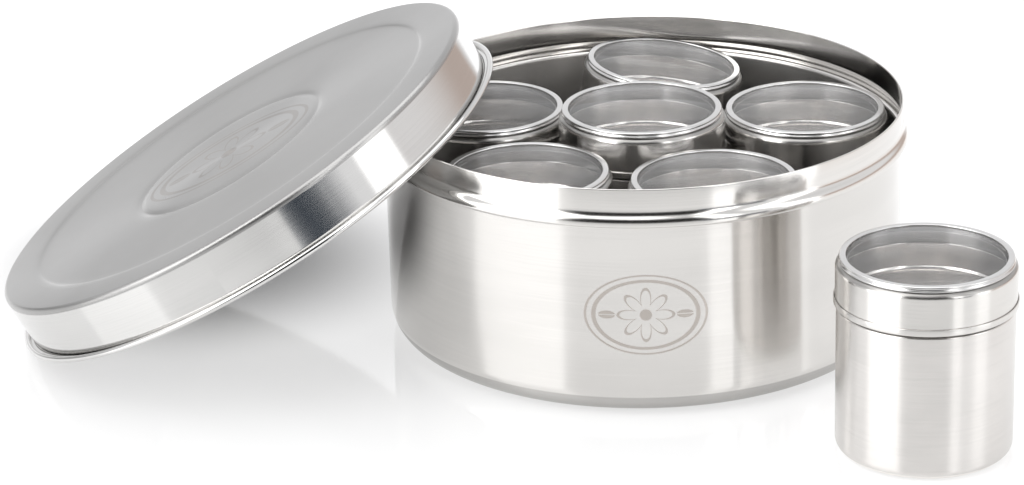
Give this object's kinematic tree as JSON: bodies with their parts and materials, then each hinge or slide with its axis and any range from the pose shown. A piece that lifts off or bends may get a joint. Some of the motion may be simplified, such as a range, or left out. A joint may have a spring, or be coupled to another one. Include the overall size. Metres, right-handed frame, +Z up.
{
  "type": "spice box with canisters",
  "caption": "Round stainless steel spice box with a slip-on lid leaning on it and see-through-lidded canisters inside and beside it.",
  "frame": {"origin": "centre of the tub's base, on the surface it stands on", "axes": "+Z up, +X along the longest extent with the leaning lid on the -X side, -Y the front, where the loose canister stands"},
  "size_m": [0.4165, 0.3026, 0.1319],
  "materials": {
    "tub_steel": "bright polished",
    "cover_steel": "satin plate, polished skirt",
    "cup_steel": "polished, fine turned lines",
    "cap_steel": "polished",
    "bezel_steel": "satin",
    "window_clear": "clear"
  },
  "bodies": {
    "tub": {"box_body": "tub_steel"},
    "cover": {"main_lid": "cover_steel"},
    "centre_can": {"centre_cup": "cup_steel"},
    "centre_cap": {"centre_lid": "cap_steel", "centre_bezel": "bezel_steel", "centre_window": "window_clear"},
    "right_can": {"right_cup": "cup_steel"},
    "right_cap": {"right_lid": "cap_steel", "right_bezel": "bezel_steel", "right_window": "window_clear"},
    "left_can": {"left_cup": "cup_steel"},
    "left_cap": {"left_lid": "cap_steel", "left_bezel": "bezel_steel", "left_window": "window_clear"},
    "front_left_can": {"front_left_cup": "cup_steel"},
    "front_left_cap": {"front_left_lid": "cap_steel", "front_left_bezel": "bezel_steel", "front_left_window": "window_clear"},
    "front_right_can": {"front_right_cup": "cup_steel"},
    "front_right_cap": {"front_right_lid": "cap_steel", "front_right_bezel": "bezel_steel", "front_right_window": "window_clear"},
    "back_can": {"back_cup": "cup_steel"},
    "back_cap": {"back_lid": "cap_steel", "back_bezel": "bezel_steel", "back_window": "window_clear"},
    "outside_can": {"outside_cup": "cup_steel"},
    "outside_cap": {"outside_lid": "cap_steel", "outside_bezel": "bezel_steel", "outside_window": "window_clear"}
  },
  "joints": [
    {"name": "cover_lift", "type": "slide", "parent": "tub", "child": "cover", "axis": [0, 0, 1], "range_m": [0, 0.12]},
    {"name": "centre_lift", "type": "slide", "parent": "tub", "child": "centre_can", "axis": [0, 0, 1], "range_m": [-0.0075, 0.1]},
    {"name": "centre_lid_lift", "type": "slide", "parent": "centre_can", "child": "centre_cap", "axis": [0, 0, 1], "range_m": [0, 0.03]},
    {"name": "right_lift", "type": "slide", "parent": "tub", "child": "right_can", "axis": [0, 0, 1], "range_m": [0, 0.1]},
    {"name": "right_lid_lift", "type": "slide", "parent": "right_can", "child": "right_cap", "axis": [0, 0, 1], "range_m": [0, 0.03]},
    {"name": "left_lift", "type": "slide", "parent": "tub", "child": "left_can", "axis": [0, 0, 1], "range_m": [0, 0.013]},
    {"name": "left_lid_lift", "type": "slide", "parent": "left_can", "child": "left_cap", "axis": [0, 0, 1], "range_m": [0, 0.013]},
    {"name": "front_left_lift", "type": "slide", "parent": "tub", "child": "front_left_can", "axis": [0, 0, 1], "range_m": [0, 0.013]},
    {"name": "front_left_lid_lift", "type": "slide", "parent": "front_left_can", "child": "front_left_cap", "axis": [0, 0, 1], "range_m": [0, 0.013]},
    {"name": "front_right_lift", "type": "slide", "parent": "tub", "child": "front_right_can", "axis": [0, 0, 1], "range_m": [0, 0.1]},
    {"name": "front_right_lid_lift", "type": "slide", "parent": "front_right_can", "child": "front_right_cap", "axis": [0, 0, 1], "range_m": [0, 0.03]},
    {"name": "back_lift", "type": "slide", "parent": "tub", "child": "back_can", "axis": [0, 0, 1], "range_m": [0, 0.1]},
    {"name": "back_lid_lift", "type": "slide", "parent": "back_can", "child": "back_cap", "axis": [0.1132, 0, 0.9936], "range_m": [0, 0.03]},
    {"name": "outside_lift", "type": "slide", "parent": "tub", "child": "outside_can", "axis": [0, 0, 1], "range_m": [0, 0.1]},
    {"name": "outside_lid_lift", "type": "slide", "parent": "outside_can", "child": "outside_cap", "axis": [0, 0, 1], "range_m": [0, 0.03]}
  ]
}
